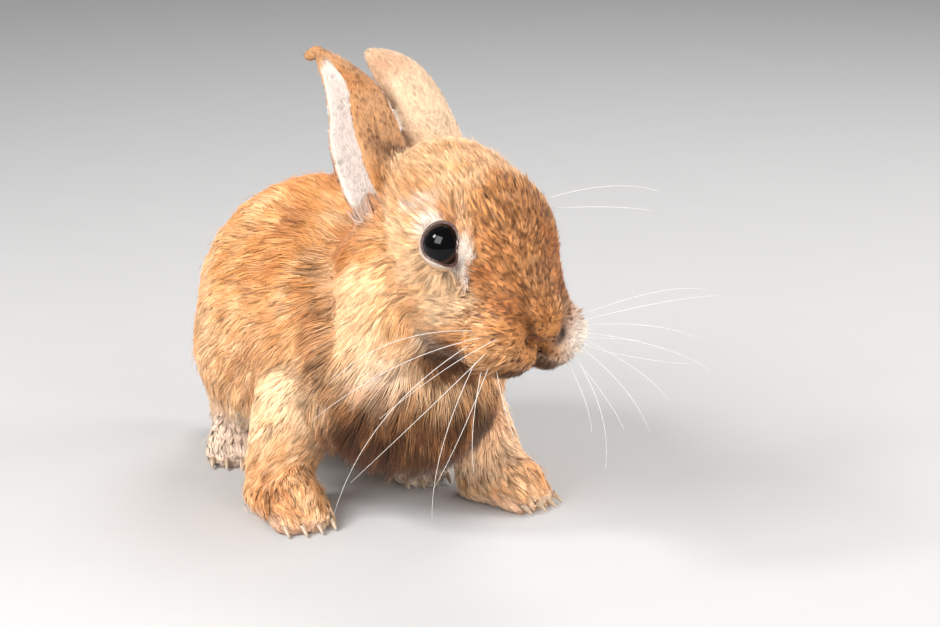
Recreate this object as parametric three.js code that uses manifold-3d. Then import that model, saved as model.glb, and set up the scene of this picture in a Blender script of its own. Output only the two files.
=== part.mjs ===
// A dwarf rabbit at life size, a still model in a slow walking stance, its head turned a little to the left.
// Millimetres. +X is the way the trunk faces, +Y is the animal's left, +Z is up, and it stands on z = 0.
// Every body part is a loft: rings of rays leave an axis and stop where a soft blend of named masses ends.
import * as THREE from "three";
import { mergeVertices } from "three/addons/utils/BufferGeometryUtils.js";
import Module from "manifold-3d";

const wasm = await Module();
wasm.setup();

// -------------------------------------------------------------------------------------------------
// Driving dimensions
// -------------------------------------------------------------------------------------------------
const GAP = 0.3; // clear space between neighbouring pieces
const SIDES = { left: 1, right: -1 }; // the sign of y on each side of the animal

const BACK_HEIGHT = 107; // top of the back above the floor, over the coat
const RUMP_WIDTH = 93;
const CHEST_WIDTH = 71;
const BELLY_HEIGHT = 17; // clearance under the chest

const HEAD_PLACE = new THREE.Vector3(2, 6, 105); // midway between the eyes
const HEAD_YAW = THREE.MathUtils.degToRad(7); // to the left
const HEAD_PITCH = THREE.MathUtils.degToRad(18); // nose down
const EYE_DIAMETER = 16;
const EYE_SPREAD = 16.5; // eyeball centre to the middle plane
const MOUTH_DROP = 25; // mouth line below the eyes' line, in the head's frame

const EAR_LENGTH = { left: 73, right: 75 };
const EAR_SPREAD = { left: 6, right: 3 }; // its root from the middle plane
const EAR_DEPTH = { left: 17.5, right: 19 }; // fold to edge
const EAR_BELLY = { left: 0.5, right: 5 }; // how much deeper it is in its lower half
const EAR_OPENING = 19; // across the opening, at the widest
const EAR_WALL = 2.6;
const EAR_INWARD = 3; // how far the fold lies to the inner side of the root, at mid length
const EAR_CURL = { left: 9, right: 10 }; // of the tip, backwards
const EAR_TIP = { left: 3, right: 1.6 }; // the higher, the blunter
const EAR_TAPER = { left: 0.5, right: 1 }; // the higher, the slimmer its upper half
const EAR_WIDEST = { left: 0.33, right: 0.45 }; // share of the length from the root
const EAR_SLANT = { left: 0.4, right: 0.78 }; // how far the upper half leans to the open side
const EAR_HOOK = { left: 0, right: 0.34 }; // the share of that lean that the very tip takes back
const EAR_LEAN = THREE.MathUtils.degToRad(60); // back from the head's upright
const EAR_SPLAY = { left: 4, right: -3 }; // degrees out to the side
const EAR_TURN = { left: 34, right: -2 }; // degrees that the opening is turned backwards

const CLAW_LENGTH = 3.6; // clear of the toe
const CLAW_RADIUS = 1.5;
const WHISKER_LENGTH = 66; // the longest
const WHISKER_RADIUS = 0.45;
const WHISKER_DROP = { left: 2, right: 20 }; // degrees below level for the top row

// -------------------------------------------------------------------------------------------------
// Fields: functions of a point that are negative inside, and close to a distance near the surface
// -------------------------------------------------------------------------------------------------
const at = (x, y, z) => new THREE.Vector3(x, y, z);

function ellipsoid(centre, radii, turn = [0, 0, 0]) {
  const back = new THREE.Quaternion().setFromEuler(new THREE.Euler(...turn, "ZYX")).invert();
  const p = at(0, 0, 0);
  return (q) => {
    p.copy(q).sub(centre).applyQuaternion(back).divide(radii);
    const near = p.length();
    return (near * (near - 1)) / Math.max(p.divide(radii).length(), 1e-6);
  };
}

function roundCone(a, b, radiusA, radiusB) {
  const along = b.clone().sub(a);
  const p = at(0, 0, 0);
  return (q) => {
    const t = THREE.MathUtils.clamp(p.copy(q).sub(a).dot(along) / along.lengthSq(), 0, 1);
    return p.addScaledVector(along, -t).length() - THREE.MathUtils.lerp(radiusA, radiusB, t);
  };
}

// The soft union of several fields: creases between them fill in over about `softness`.
function blend(softness, ...fields) {
  return (q) =>
    fields.reduce((near, field) => {
      const next = field(q);
      const overlap = Math.max(softness - Math.abs(near - next), 0) / softness;
      return Math.min(near, next) - (overlap * overlap * softness) / 4;
    }, 1e9);
}

const grown = (field, by) => (q) => field(q) - by;

// -------------------------------------------------------------------------------------------------
// Lofts
// -------------------------------------------------------------------------------------------------
const STEPS_IN = 22; // halvings of the last step of a ray

function hit(origin, direction, field) {
  const p = at(0, 0, 0);
  let low = 0;
  let high = 0.5;
  while (field(p.copy(origin).addScaledVector(direction, high)) < 0 && high < 400) {
    low = high;
    high += 1.5;
  }
  for (let i = 0; i < STEPS_IN; i++) {
    const middle = (low + high) / 2;
    if (field(p.copy(origin).addScaledVector(direction, middle)) < 0) low = middle;
    else high = middle;
  }
  return origin.clone().addScaledVector(direction, low);
}

function closedGeometry(points, rings, sides, first, last) {
  const faces = [];
  for (let r = 0; r + 1 < rings; r++)
    for (let s = 0; s < sides; s++) {
      const a = r * sides + s;
      const b = r * sides + ((s + 1) % sides);
      faces.push(a, b, b + sides, a, b + sides, a + sides);
    }
  const top = (rings - 1) * sides;
  for (let s = 0; s < sides; s++) {
    faces.push(first, (s + 1) % sides, s);
    faces.push(last, top + s, top + ((s + 1) % sides));
  }
  const geometry = new THREE.BufferGeometry().setFromPoints(points);
  return geometry.setIndex(faces);
}

// A loft along `axis`, a curve, with a round end at each end of it. A round end turns its rays step by step
// from straight out of the axis to along it, so that it closes over the tip.
function loft(field, axis, { stations, sides, roundStart, roundEnd }) {
  const points = [];
  let rings = 0;
  const frameAt = (share) => {
    const along = axis.getTangentAt(share);
    const side = at(0, 0, 1).cross(along).normalize();
    return { origin: axis.getPointAt(share), along, side, up: along.clone().cross(side) };
  };
  const ring = (share, tilt) => {
    const { origin, along, side, up } = frameAt(share);
    for (let s = 0; s < sides; s++) {
      const turn = ((s + 0.5) / sides) * 2 * Math.PI;
      const out = side.clone().multiplyScalar(Math.cos(turn)).addScaledVector(up, Math.sin(turn));
      const ray = out.multiplyScalar(Math.cos(tilt)).addScaledVector(along, Math.sin(tilt));
      points.push(hit(origin, ray, field));
    }
    rings += 1;
  };
  for (let k = roundStart; k > 0; k--) ring(0, (-k / (roundStart + 1)) * (Math.PI / 2));
  for (let k = 0; k <= stations; k++) ring(k / stations, 0);
  for (let k = 1; k <= roundEnd; k++) ring(1, (k / (roundEnd + 1)) * (Math.PI / 2));
  const start = frameAt(0);
  const end = frameAt(1);
  points.push(hit(start.origin, start.along.clone().negate(), field));
  points.push(hit(end.origin, end.along, field));
  return closedGeometry(points, rings, sides, points.length - 2, points.length - 1);
}

// A tapering rod along `curve`, whose radius is `radiusAt(share)`.
function rod(curve, radiusAt, steps, sides) {
  const points = [];
  for (let k = 0; k <= steps; k++) {
    const along = curve.getTangentAt(k / steps);
    const side = at(0.3, 0.2, 1).cross(along).normalize();
    const up = along.clone().cross(side);
    for (let j = 0; j < sides; j++) {
      const turn = (j / sides) * 2 * Math.PI;
      const out = side.clone().multiplyScalar(Math.cos(turn)).addScaledVector(up, Math.sin(turn));
      points.push(curve.getPointAt(k / steps).addScaledVector(out, radiusAt(k / steps)));
    }
  }
  points.push(curve.getPointAt(0), curve.getPointAt(1));
  return closedGeometry(points, steps + 1, sides, points.length - 2, points.length - 1);
}

// -------------------------------------------------------------------------------------------------
// Solids: meshes that can be cut
// -------------------------------------------------------------------------------------------------
function solid(geometry) {
  const bare = geometry.clone();
  bare.deleteAttribute("normal");
  bare.deleteAttribute("uv");
  const merged = mergeVertices(bare, 1e-4);
  return new wasm.Manifold(
    new wasm.Mesh({
      numProp: 3,
      vertProperties: merged.attributes.position.array,
      triVerts: new Uint32Array(merged.index.array),
    }),
  );
}

function geometryOf(manifold) {
  const mesh = manifold.getMesh();
  const geometry = new THREE.BufferGeometry();
  geometry.setAttribute("position", new THREE.BufferAttribute(mesh.vertProperties, 3));
  geometry.setIndex(new THREE.BufferAttribute(mesh.triVerts, 1));
  return geometry;
}

// The largest piece of a cut, without the crumbs that a shallow cut leaves.
const largest = (shape) => shape.decompose().reduce((a, b) => (a.volume() > b.volume() ? a : b));
const moved = (manifold, matrix) => manifold.transform([...matrix.elements]);
const mirrored = (manifold, s) => (s > 0 ? manifold : manifold.mirror([0, 1, 0]));
// The two sides of a thin cut square to `normal`, first the side that it points to.
const parted = (shape, normal, distance) =>
  [1, -1].map((side) => largest(shape.trimByPlane(normal.map((n) => n * side), distance * side + GAP / 2)));
const cut = (shape, ...tools) => largest(tools.reduce((rest, tool) => rest.subtract(tool), shape));

const coat = (color, roughness = 0.85) => new THREE.MeshStandardMaterial({ color, roughness });
const FUR = { back: coat(0xc98a4b), face: coat(0xd19a5f), ear: coat(0xd8aa7c), pale: coat(0xe9dccb) };
const EYE = coat(0x160c08, 0.08);
const HORN = coat(0x8d7a68, 0.45);

function mesh(name, shape, material) {
  const made = new THREE.Mesh(shape instanceof THREE.BufferGeometry ? shape : geometryOf(shape), material);
  made.name = name;
  return made;
}

// -------------------------------------------------------------------------------------------------
// Trunk, neck and tail
// -------------------------------------------------------------------------------------------------
const trunkField = blend(
  12,
  ellipsoid(at(-101, -3, BACK_HEIGHT - 47), at(50, RUMP_WIDTH / 2, 47)),
  ellipsoid(at(-68, -5, 60), at(42, 40, 43)),
  ellipsoid(at(-38, -3, BELLY_HEIGHT + 36), at(28, CHEST_WIDTH / 2, 36)),
  roundCone(at(-50, -2, 72), at(-34, 2, 84), 26, 22),
);
const spine = new THREE.LineCurve3(at(-108, -3, 58), at(-50, -2, 62));
const trunkLoft = (by) =>
  solid(loft(grown(trunkField, by), spine, { stations: 8, sides: 22, roundStart: 5, roundEnd: 5 }));

const neckField = blend(
  8,
  ellipsoid(at(-33, 0, 83), at(21, 33, 31), [0, -0.35, 0]),
  ellipsoid(at(-18, 3, 95), at(20, 25, 22)),
  ellipsoid(at(-17, -1, 77), at(18, 21, 17)), // throat
);
const nape = new THREE.LineCurve3(at(-38, 0, 80), at(-22, 3, 92));
const neckLoft = (by) =>
  solid(loft(grown(neckField, by), nape, { stations: 2, sides: 18, roundStart: 4, roundEnd: 3 }));

const dock = new THREE.LineCurve3(at(-149, -4, 54), at(-153, -4, 66));
const tailField = ellipsoid(at(-150, -4, 60), at(9, 10.5, 17), [0, -0.3, 0]);

// -------------------------------------------------------------------------------------------------
// Head, in its own frame: x to the nose, y left, z up, and the eyes' line through the origin
// -------------------------------------------------------------------------------------------------
const headMatrix = new THREE.Matrix4().compose(
  HEAD_PLACE,
  new THREE.Quaternion().setFromEuler(new THREE.Euler(0, HEAD_PITCH, HEAD_YAW, "ZYX")),
  at(1, 1, 1),
);
const bothSides = (make) => Object.values(SIDES).map(make);
const padCentre = (s) => at(26, s * 9, -21);
const padPieceCentre = (s) => at(26.5, s * 9, -21.5); // the piece takes in the upper lip
const headField = blend(
  7,
  ellipsoid(at(-20, 0, 1), at(27, 22, 22)), // skull
  ellipsoid(at(0, 0, 8), at(18.5, 18, 15.7)), // forehead
  ...bothSides((s) => ellipsoid(at(-11, s * 12, -16.5), at(22, 13.5, 19))), // cheeks
  ...bothSides((s) => ellipsoid(at(2, s * 11, 3), at(11, 8, 10))), // brows
  roundCone(at(8, 0, -2), at(27, 0, -13), 18.3, 13.6), // bridge of the nose
  ...bothSides((s) => ellipsoid(padCentre(s), at(12, 11.3, 11))), // whisker pads
  ...bothSides((s) => ellipsoid(at(31, s * 6, -24), at(7.5, 7, 7))), // upper lip
  ellipsoid(at(13, 0, -28.5), at(16, 12, 10.5)), // chin
  ...bothSides((s) => ellipsoid(at(4.5, s * 10.5, -27.5), at(12, 8.8, 12))), // jowls
);
const skullAxis = new THREE.LineCurve3(at(-18, 0, -2), at(26, 0, -15));
const headLoft = (by) =>
  solid(loft(grown(headField, by), skullAxis, { stations: 9, sides: 26, roundStart: 4, roundEnd: 5 }));

function ball(centre, radii, widthSegments = 12, heightSegments = 8) {
  const sphere = new THREE.SphereGeometry(1, widthSegments, heightSegments).rotateX(Math.PI / 2);
  return solid(sphere.scale(radii.x, radii.y, radii.z).translate(centre.x, centre.y, centre.z));
}
const eyeball = (s, by) => {
  const radius = EYE_DIAMETER / 2 + by;
  return ball(at(0, s * EYE_SPREAD, 0), at(radius, radius, radius));
};
const nostril = (s) => ball(at(38.5, s * 3.4, -15.5), at(3, 1.1, 1.5), 6, 4);

// Three rows of three whiskers, fanned from a little behind the side to well in front of it.
function whiskers(side) {
  const s = SIDES[side];
  const made = [];
  for (const row of [0, 1, 2])
    for (const column of [0, 1, 2]) {
      const fan = THREE.MathUtils.degToRad(102 - 30 * column);
      const drop = THREE.MathUtils.degToRad(WHISKER_DROP[side] + 15 * row);
      const length = WHISKER_LENGTH * (1 - 0.1 * column - 0.08 * row);
      const root = padCentre(s).add(at(3.5 * column - 5, s * 5, 3.5 - 3.5 * row));
      const way = at(Math.cos(fan) * Math.cos(drop), s * Math.sin(fan) * Math.cos(drop), -Math.sin(drop));
      const tip = root.clone().addScaledVector(way, length);
      const middle = root.clone().lerp(tip, 0.55).add(at(0, 0, 0.1 * length));
      const curve = new THREE.QuadraticBezierCurve3(root, middle, tip);
      made.push(solid(rod(curve, (t) => WHISKER_RADIUS * (1 - 0.25 * t), 2, 3)));
    }
  return made;
}

// The whole head parted into skull, muzzle, jaw and the two whisker pads.
function headPieces() {
  const eyes = bothSides((s) => eyeball(s, GAP));
  const whole = cut(headLoft(0), ...eyes, ...bothSides(nostril));
  const padShape = (s, by) => ball(padPieceCentre(s), at(13 + by, 12 + by, 12.7 + by), 10, 7);
  const [upper, jaw] = parted(cut(whole, ...bothSides((s) => padShape(s, GAP))), [0, 0, 1], -MOUTH_DROP);
  const [muzzle, skull] = parted(upper, [1, 0, 0], 15);
  const pieces = { skull, muzzle, jaw };
  for (const [side, s] of Object.entries(SIDES)) {
    const pad = largest(whole.intersect(padShape(s, 0)).trimByPlane([0, s, 0], GAP / 2));
    pieces["whisker_pad_" + side] = whiskers(side).reduce((joined, whisker) => joined.add(whisker), pad);
  }
  return pieces;
}

// -------------------------------------------------------------------------------------------------
// Ears, in a frame of their own: z from root to tip, x to the front edge, y to the side that is open
// -------------------------------------------------------------------------------------------------
const earMatrix = (side) => {
  const [splay, turn] = [EAR_SPLAY[side], EAR_TURN[side]].map(THREE.MathUtils.degToRad);
  const set = new THREE.Quaternion().setFromEuler(new THREE.Euler(-splay, -EAR_LEAN, turn, "YXZ"));
  return new THREE.Matrix4().compose(at(-33, EAR_SPREAD[side], -8), set, at(1, 1, 1));
};

// The wall of an ear: half an ellipse across, at stations that crowd towards the tip, which curls back.
function earShell(side) {
  const STATIONS = 10;
  const AROUND = 6;
  const BELLY_AT = 0.22; // shares of the length
  const BELLY_REACH = 0.33;
  const widest = EAR_WIDEST[side];
  const points = [];
  for (let i = 0; i <= STATIONS; i++) {
    const t = 1 - (1 - i / STATIONS) ** 1.7;
    const past = Math.max(t - widest, 0) / (1 - widest);
    const short = Math.max(widest - t, 0) / widest;
    const width = Math.max((1 - past ** EAR_TIP[side]) ** EAR_TAPER[side], 0.2) * (1 - 0.12 * short ** 2);
    const belly = EAR_BELLY[side] * Math.exp(-(((t - BELLY_AT) / BELLY_REACH) ** 2));
    const depth = (EAR_DEPTH[side] + belly) * width;
    const half = (EAR_OPENING / 2) * width;
    const wall = Math.min(EAR_WALL * (1.3 - 0.5 * t), depth / 2, half / 2);
    const inward = EAR_INWARD * Math.sin(Math.PI * t);
    const slant = EAR_SLANT[side] * (1 - EAR_HOOK[side] * t ** 10);
    const outward = slant * Math.max(EAR_DEPTH[side] - depth, 0) * t - inward;
    const shift = at(-EAR_CURL[side] * t ** 6, outward, EAR_LENGTH[side] * (t - 0.04 * t ** 4));
    for (const inner of [0, 1])
      for (let j = 0; j <= AROUND; j++) {
        const share = ((inner ? AROUND - j : j) / AROUND - 0.5) * 2;
        const a = (share * Math.PI) / 2;
        const thick = inner * wall * (1 - 0.6 * share * share);
        const out = at((half - thick) * Math.sin(a), depth - (depth - thick) * Math.cos(a), 0);
        points.push(out.add(shift));
      }
  }
  const sides = 2 * (AROUND + 1);
  const middle = (ring) => {
    const around = points.slice(ring * sides, (ring + 1) * sides);
    return around.reduce((sum, p) => sum.add(p), at(0, 0, 0)).divideScalar(sides);
  };
  points.push(middle(0), middle(STATIONS));
  return closedGeometry(points, STATIONS + 1, sides, points.length - 2, points.length - 1);
}

// -------------------------------------------------------------------------------------------------
// Legs and paws
// -------------------------------------------------------------------------------------------------
const FORE = {
  left: {
    shoulder: at(-50, 20, 52),
    elbow: at(-54, 22, 36),
    wrist: at(-44, 31, 15),
    toes: at(-26, 39, 3),
  },
  right: {
    shoulder: at(-54, -24, 54),
    elbow: at(-64, -33, 36),
    wrist: at(-65, -40, 15),
    toes: at(-41, -40.5, 3),
  },
};
const HIND = {
  left: {
    hip: at(-104, 26, 47),
    knee: at(-84, 28, 40),
    hock: at(-122, 24, 10),
    toes: at(-66, 17, 3),
  },
  right: {
    hip: at(-110, -30, 47),
    knee: at(-94, -32, 42),
    hock: at(-160, -15, 16),
    toes: at(-117, -34, 3),
  },
};
const FORE_PAW = { heelRadius: 12, ballRadius: 10, toeRadius: 3.7, spread: 5.7 };
const HIND_PAW = { heelRadius: 8.5, ballRadius: 8.5, toeRadius: 3.8, spread: 5.2 };

const forelegField = ({ shoulder, elbow, wrist }) =>
  blend(8, ellipsoid(shoulder, at(19, 16, 26)), roundCone(elbow, wrist, 16, 12));
const thighField = ({ hip, knee, hock }) =>
  blend(12, ellipsoid(hip, at(34, 16, 34)), roundCone(knee, hip, 19, 16), roundCone(hip, hock, 13, 8));

// Four toes side by side, each a low ridge from the ball of the paw, and on a forepaw a dewclaw's toe at its
// inner side.
function toesOf({ heel, tip, toeRadius, spread, inner }) {
  const along = tip.clone().sub(heel).setZ(0).normalize();
  const across = at(0, 0, 1).cross(along);
  const toes = [-1.5, -0.5, 0.5, 1.5].map((k) => {
    const end = tip.clone().addScaledVector(across, k * spread).addScaledVector(along, -0.9 * k * k);
    const root = tip.clone().addScaledVector(along, -13).addScaledVector(across, k * spread * 0.7);
    return { root: root.setZ(tip.z + 4), end, along, radius: toeRadius };
  });
  if (inner) {
    const end = heel.clone().lerp(tip, 0.6).addScaledVector(across, inner * 10.5).setZ(6);
    const root = heel.clone().addScaledVector(across, inner * 5);
    toes.push({ root, end, along, radius: toeRadius * 0.7 });
  }
  return toes;
}

function paw({ hock, wrist, toes }, sizes, inner) {
  const heel = wrist ? wrist.clone().setZ(6.5) : hock;
  const tip = toes.clone().setZ(sizes.toeRadius - 1);
  const ballOfPaw = toes.clone().lerp(heel, 0.4).setZ(sizes.ballRadius - 2);
  const shape = { ...sizes, heel, tip, inner };
  const field = blend(
    3,
    roundCone(heel, ballOfPaw, sizes.heelRadius, sizes.ballRadius),
    ...toesOf(shape).map(({ root, end, radius }) => roundCone(root, end, radius + 0.8, radius)),
  );
  const axis = new THREE.LineCurve3(heel, tip.clone().lerp(heel, 0.18));
  const stations = Math.round(heel.distanceTo(tip) / 9);
  const soled = (by) => {
    const whole = solid(loft(grown(field, by), axis, { stations, sides: 14, roundStart: 2, roundEnd: 5 }));
    return whole.trimByPlane([0, 0, 1], 0);
  };
  return { solid: soled(0), tool: soled(GAP), claws: toesOf(shape).map(claw) };
}

function claw({ end, along, radius }) {
  const root = end.clone().addScaledVector(along, radius * 0.3).add(at(0, 0, 1));
  const tip = end.clone().addScaledVector(along, radius + CLAW_LENGTH).add(at(0, 0, -2));
  const arch = root.clone().lerp(tip, 0.6).add(at(0, 0, 1.4));
  const curve = new THREE.QuadraticBezierCurve3(root, arch, tip);
  return solid(rod(curve, (t) => CLAW_RADIUS * (1 - 0.75 * t * t), 2, 4));
}

// -------------------------------------------------------------------------------------------------
// Assembly: each piece is cut clear of its neighbours
// -------------------------------------------------------------------------------------------------
const rabbit = new THREE.Group();
const add = (name, shape, material) => rabbit.add(mesh(name, shape, material));

const trunkTool = trunkLoft(GAP);
const headTool = moved(headLoft(GAP), headMatrix);
const neckTool = neckLoft(GAP);

add("trunk", cut(trunkLoft(0), headTool), FUR.back);
add("neck", cut(neckLoft(0), trunkTool, headTool), FUR.back);
const tail = solid(loft(tailField, dock, { stations: 2, sides: 8, roundStart: 3, roundEnd: 3 }));
add("tail", cut(tail, trunkTool), FUR.pale);
for (const [name, piece] of Object.entries(headPieces())) add(name, moved(piece, headMatrix), FUR.face);

for (const [side, s] of Object.entries(SIDES)) {
  add("eye_" + side, moved(eyeball(s, 0), headMatrix), EYE);
  const ear = mirrored(moved(solid(earShell(side)), earMatrix(side)), s);
  add("ear_" + side, cut(moved(ear, headMatrix), headTool, neckTool, trunkTool), FUR.ear);

  const fore = FORE[side];
  const forepaw = paw(fore, FORE_PAW, -s);
  const arm = new THREE.LineCurve3(fore.shoulder, fore.wrist);
  const foreleg = loft(forelegField(fore), arm, { stations: 4, sides: 12, roundStart: 3, roundEnd: 2 });
  add("foreleg_" + side, cut(solid(foreleg), trunkTool, neckTool, forepaw.tool), FUR.back);
  add("forepaw_" + side, forepaw.solid, FUR.pale);

  const hind = HIND[side];
  const hindPaw = paw(hind, HIND_PAW, 0);
  const haunch = new THREE.LineCurve3(hind.hip, hind.hip.clone().lerp(hind.hock, 0.8));
  const thigh = loft(thighField(hind), haunch, { stations: 3, sides: 12, roundStart: 4, roundEnd: 2 });
  add("thigh_" + side, cut(solid(thigh), trunkTool, hindPaw.tool), FUR.back);
  add("hind_foot_" + side, hindPaw.solid, FUR.pale);

  forepaw.claws.forEach((horn, k) => add(`fore_claw_${side}_${k + 1}`, cut(horn, forepaw.tool), HORN));
  hindPaw.claws.forEach((horn, k) => add(`hind_claw_${side}_${k + 1}`, cut(horn, hindPaw.tool), HORN));
}

// The origin is the middle of the rabbit's footprint box, on the floor.
const box = new THREE.Box3().setFromObject(rabbit, true);
rabbit.position.set(-(box.min.x + box.max.x) / 2, -(box.min.y + box.max.y) / 2, -box.min.z);

export default rabbit;
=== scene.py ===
"""A life-size dwarf rabbit: skin, coat, eyes, claws and whiskers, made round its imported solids."""
import math
from itertools import product

import bpy
import numpy as np
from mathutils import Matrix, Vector
from mathutils.bvhtree import BVHTree
from mathutils.kdtree import KDTree


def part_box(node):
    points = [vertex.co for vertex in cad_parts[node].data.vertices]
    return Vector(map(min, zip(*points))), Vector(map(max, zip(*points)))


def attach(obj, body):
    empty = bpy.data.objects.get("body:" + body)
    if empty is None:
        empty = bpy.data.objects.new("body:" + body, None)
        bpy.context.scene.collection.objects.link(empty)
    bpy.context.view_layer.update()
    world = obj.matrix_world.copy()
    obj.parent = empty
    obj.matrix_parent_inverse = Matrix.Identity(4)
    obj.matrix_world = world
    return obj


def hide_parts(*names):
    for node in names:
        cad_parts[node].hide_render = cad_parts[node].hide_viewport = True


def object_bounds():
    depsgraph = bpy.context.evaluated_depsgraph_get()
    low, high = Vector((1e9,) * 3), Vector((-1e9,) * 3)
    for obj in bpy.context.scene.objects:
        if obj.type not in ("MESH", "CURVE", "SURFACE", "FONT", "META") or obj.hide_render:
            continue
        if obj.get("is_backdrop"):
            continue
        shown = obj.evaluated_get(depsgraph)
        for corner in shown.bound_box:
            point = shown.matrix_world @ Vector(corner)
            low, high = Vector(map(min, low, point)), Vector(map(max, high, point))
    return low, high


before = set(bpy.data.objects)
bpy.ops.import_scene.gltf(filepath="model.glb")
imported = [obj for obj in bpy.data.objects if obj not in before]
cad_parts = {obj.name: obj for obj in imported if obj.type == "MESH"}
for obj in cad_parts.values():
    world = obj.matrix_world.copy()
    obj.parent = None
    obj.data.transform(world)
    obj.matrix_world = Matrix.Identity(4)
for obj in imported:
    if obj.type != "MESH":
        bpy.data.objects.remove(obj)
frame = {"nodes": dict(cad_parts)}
CAD_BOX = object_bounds()

bl_info = {
    "name": "Dwarf Rabbit",
    "version": (1, 0, 0),
    "blender": (4, 5, 0),
    "location": "3D View > Sidebar > Rabbit",
    "description": "Makes the skin, coat, eyes, claws and whiskers of a dwarf rabbit",
    "category": "Object",
}

# ---- measures
MM = 0.001  # lengths are in millimetres here, and in metres in the settings and in Blender
SIDES = {"left": 1, "right": -1}


def unit(v):
    v = np.asarray(v, float)
    return v / np.maximum(np.linalg.norm(v, axis=-1, keepdims=True), 1e-9)


def dot(a, b):
    return (a * b).sum(-1)


def distance(points, place):
    return np.linalg.norm(points - place, axis=1)


def to_line(points, a, b):
    """The distance of each point from the line between a and b."""
    a, b = np.asarray(a, float), np.asarray(b, float)
    along = np.clip((points - a) @ (b - a) / dot(b - a, b - a), 0, 1)
    return distance(points, a + along[:, None] * (b - a))


def ease(low, high, x):
    """0 below low, 1 above high, and smooth between them. low may be the larger."""
    t = np.clip((x - low) / (high - low), 0, 1)
    return t * t * (3 - 2 * t)


def bell(x, width):
    """1 where x is 0, falling to almost 0 at twice the width."""
    return np.exp(-((x / width) ** 2))


def near_angle(turn, angle, width):
    """1 where turn is the angle, falling to almost 0 beside it, in degrees."""
    return bell((turn - angle + 180) % 360 - 180, width)


def fetched(items, name, width=1, kind=np.float32):
    """A value of each of a mesh's items, or a row of several."""
    values = np.empty(len(items) * width, kind)
    items.foreach_get(name, values)
    return values.reshape(-1, width) if width > 1 else values


def mesh_points(mesh):
    return fetched(mesh.vertices, "co", 3).astype(float) / MM


def put(items, name, values, kind=np.float32):
    items.foreach_set(name, np.asarray(values, kind).ravel())


def put_points(mesh, points):
    put(mesh.vertices, "co", points * MM)
    mesh.update()


def put_value(mesh, name, values):
    put(mesh.attributes.new(name, "FLOAT", "POINT").data, "value", values)


# ---- smooth random values
GRID_START = 1000.0  # keeps the grid's numbers above 0
SCATTER = (73856093, 19349663, 83492791, 26544357)
SHUFFLE = 1274126177


def noise(points, cell, seed):
    """Smooth random values from 0 to 1 that change over about one cell."""
    grid = points / cell + GRID_START
    base = np.floor(grid).astype(np.int64)
    part = grid - base
    part = part * part * (3 - 2 * part)
    total = np.zeros(len(points))
    for corner in product((0, 1), repeat=3):
        x, y, z = ((base + corner) * SCATTER[:3]).T
        mixed = x ^ y ^ z ^ (seed * SCATTER[3])
        mixed = ((mixed ^ (mixed >> 13)) * SHUFFLE) & 0xFFFFFFFF
        value = ((mixed ^ (mixed >> 16)) & 0xFFFF) / 0xFFFF
        total += value * np.prod(np.where(corner, part, 1 - part), axis=1)
    return total


def rough_noise(points, cell, seed):
    """Two sizes of noise, the smaller one weaker, drawn out to run from 0 to 1."""
    value = 0.67 * noise(points, cell, seed) + 0.33 * noise(points, cell / 2.1, seed + 1)
    return np.clip(0.5 + (value - 0.5) * 1.7, 0, 1)


# ---- places
def middle(node):
    low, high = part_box(node)
    return np.array((low + high) / 2) / MM


NOD = math.radians(18)  # how far the nose points down
EYES = {side: middle(f"eye_{side}") for side in SIDES}
EYE_RADIUS = float(np.ptp([np.array(c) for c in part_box("eye_left")], axis=0).max()) / 2 / MM
HEAD = (EYES["left"] + EYES["right"]) / 2
ACROSS = unit(EYES["left"] - EYES["right"])
AHEAD = np.array([ACROSS[1], -ACROSS[0], 0])
UP = np.array([0, 0, 1.0])
HEAD_AXES = np.stack([
    AHEAD * math.cos(NOD) - UP * math.sin(NOD),
    ACROSS,
    AHEAD * math.sin(NOD) + UP * math.cos(NOD),
])
FLOOR_POINT = HEAD - (2, 6, 105)  # the point on the floor that the body's places are taken from
LOWEST = 0.3  # of the skin over the floor


def in_head(points):
    """Points as forward, left and up from the middle of the eyes."""
    return (points - HEAD) @ HEAD_AXES.T


def half_head(points):
    """The same, with the right half mirrored to the left."""
    local = in_head(points)
    local[:, 1] = np.abs(local[:, 1])
    return local


def from_head(points):
    return HEAD + np.asarray(points, float) @ HEAD_AXES


# Lines on the left half of the head, in its axes, with the width and depth of the fold along each.
NOSE = (38, 0, -18)
NOSTRIL = ((37.9, 5.8, -14.9), (39.6, 1.0, -17.8), 2.0, 5.2)
CLEFT = ((39.8, 0, -18.0), (35.5, 0, -29.0), 2.8, 5.4)
MOUTH = ((34.5, 0, -31.0), (20.0, 13.0, -32.5), 1.2, 2.0)
PAD_LINES = (
    ((15.5, 17.5, -11.0), (17.5, 20.5, -18.5), 2.6, 1.6),
    ((17.5, 20.5, -18.5), (21.0, 17.5, -30.0), 2.8, 2.8),
)
NOSE_LINES = (
    ((31.5, 5.6, -2.0), (36.8, 6.8, -9.0), 1.8, 1.1),
    ((36.8, 6.8, -9.0), (37.7, 5.8, -14.6), 1.8, 2.2),
)
# The same for the neck's folds on the right, from the floor point.
NECK_FOLDS = (
    ((-54, -25, 96), (-38, -31, 80), 3.6, 2.6),
    ((-38, -31, 80), (-31, -35, 62), 3.8, 3.0),
    ((-31, -35, 62), (-20, -30, 50), 3.8, 2.0),
)
# The middle and size of the balls that round the whisker pads and the upper lips.
PAD_BALLS = (((25.5, 9.8, -21), (13.2, 12.8, 12.4)), ((31, 6, -24), (8.6, 8.1, 8.1)))
PAD_SWELL = ((28.5, 18, -20), 7, 1.7)  # where the pads stand out, how far round and how high
EAR_ROLL, EAR_ROLL_BACK = 1.9, 1.8  # radius of the right ear's rolled tip, and its way from the end
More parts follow.
